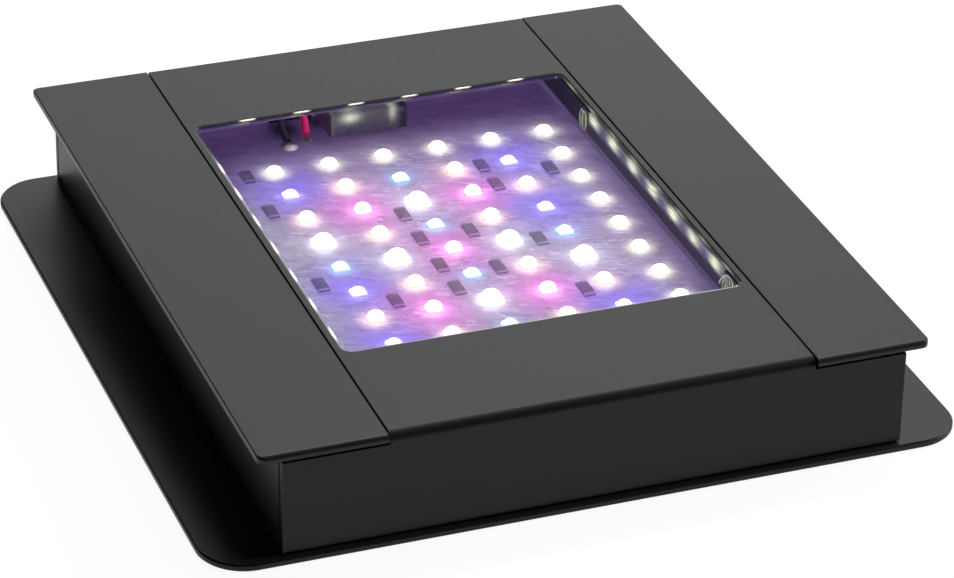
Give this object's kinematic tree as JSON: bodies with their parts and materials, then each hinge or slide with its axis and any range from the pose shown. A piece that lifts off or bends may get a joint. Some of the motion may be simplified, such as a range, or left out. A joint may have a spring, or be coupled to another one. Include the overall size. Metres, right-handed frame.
{
  "type": "led aquarium light",
  "caption": "Low folded sheet-metal light on a wider flat cover plate, with a rectangular clear window over a board of coloured LEDs.",
  "frame": {"origin": "middle of the cover plate's outer face", "axes": "+Z from the cover plate towards the window, which is the way the light shines; +Y towards the wall with the power socket; +X to the right seen from the front wall"},
  "size_m": [0.16, 0.1666, 0.0245],
  "materials": {
    "dark_sheet": "satin fine-textured dark paint on folded sheet",
    "clear_pane": "clear",
    "clear_strip": "clear polished acrylic",
    "clear_sealant": "clear gloss",
    "black_rubber": "matt",
    "black_plastic": "matt",
    "white_board": "coated circuit board",
    "led_package": "white package with a lit die",
    "resistor_black": "matt",
    "terminal_grey": "satin",
    "red_insulation": "satin",
    "black_insulation": "satin",
    "bare_aluminium": "mill finish",
    "grey_thermal_pad": "matt",
    "bright_steel": "plated"
  },
  "bodies": {
    "root": {"cover_plate": "dark_sheet", "centre_housing": "dark_sheet", "left_rail": "dark_sheet", "right_rail": "dark_sheet", "cover_gasket": "black_rubber", "pane_gasket": "black_rubber", "socket_washer": "black_rubber", "lead_grommet": "black_rubber", "window_pane": "clear_pane", "pane_strip_left": "clear_strip", "pane_strip_right": "clear_strip", "window_seal_bead": "clear_sealant", "light_frame": "black_plastic", "power_socket": "black_plastic", "led_board": "white_board", "thermal_pad": "grey_thermal_pad", "heat_spreader": "bare_aluminium", "led_string_1": "led_package", "led_string_2": "led_package", "led_string_3": "led_package", "led_string_4": "led_package", "led_string_5": "led_package", "led_string_6": "led_package", "resistor_1": "resistor_black", "resistor_2": "resistor_black", "resistor_3": "resistor_black", "resistor_4": "resistor_black", "resistor_5": "resistor_black", "resistor_6": "resistor_black", "resistor_7": "resistor_black", "resistor_8": "resistor_black", "resistor_9": "resistor_black", "resistor_10": "resistor_black", "resistor_11": "resistor_black", "resistor_12": "resistor_black", "resistor_13": "resistor_black", "resistor_14": "resistor_black", "resistor_15": "resistor_black", "terminal_block": "terminal_grey", "lead_red": "red_insulation", "lead_black": "black_insulation", "socket_nut": "bright_steel", "corner_screw_1": "bright_steel", "corner_screw_2": "bright_steel", "corner_screw_3": "bright_steel", "corner_screw_4": "bright_steel", "wall_screw_1": "bright_steel", "wall_screw_2": "bright_steel"}
  },
  "joints": []
}
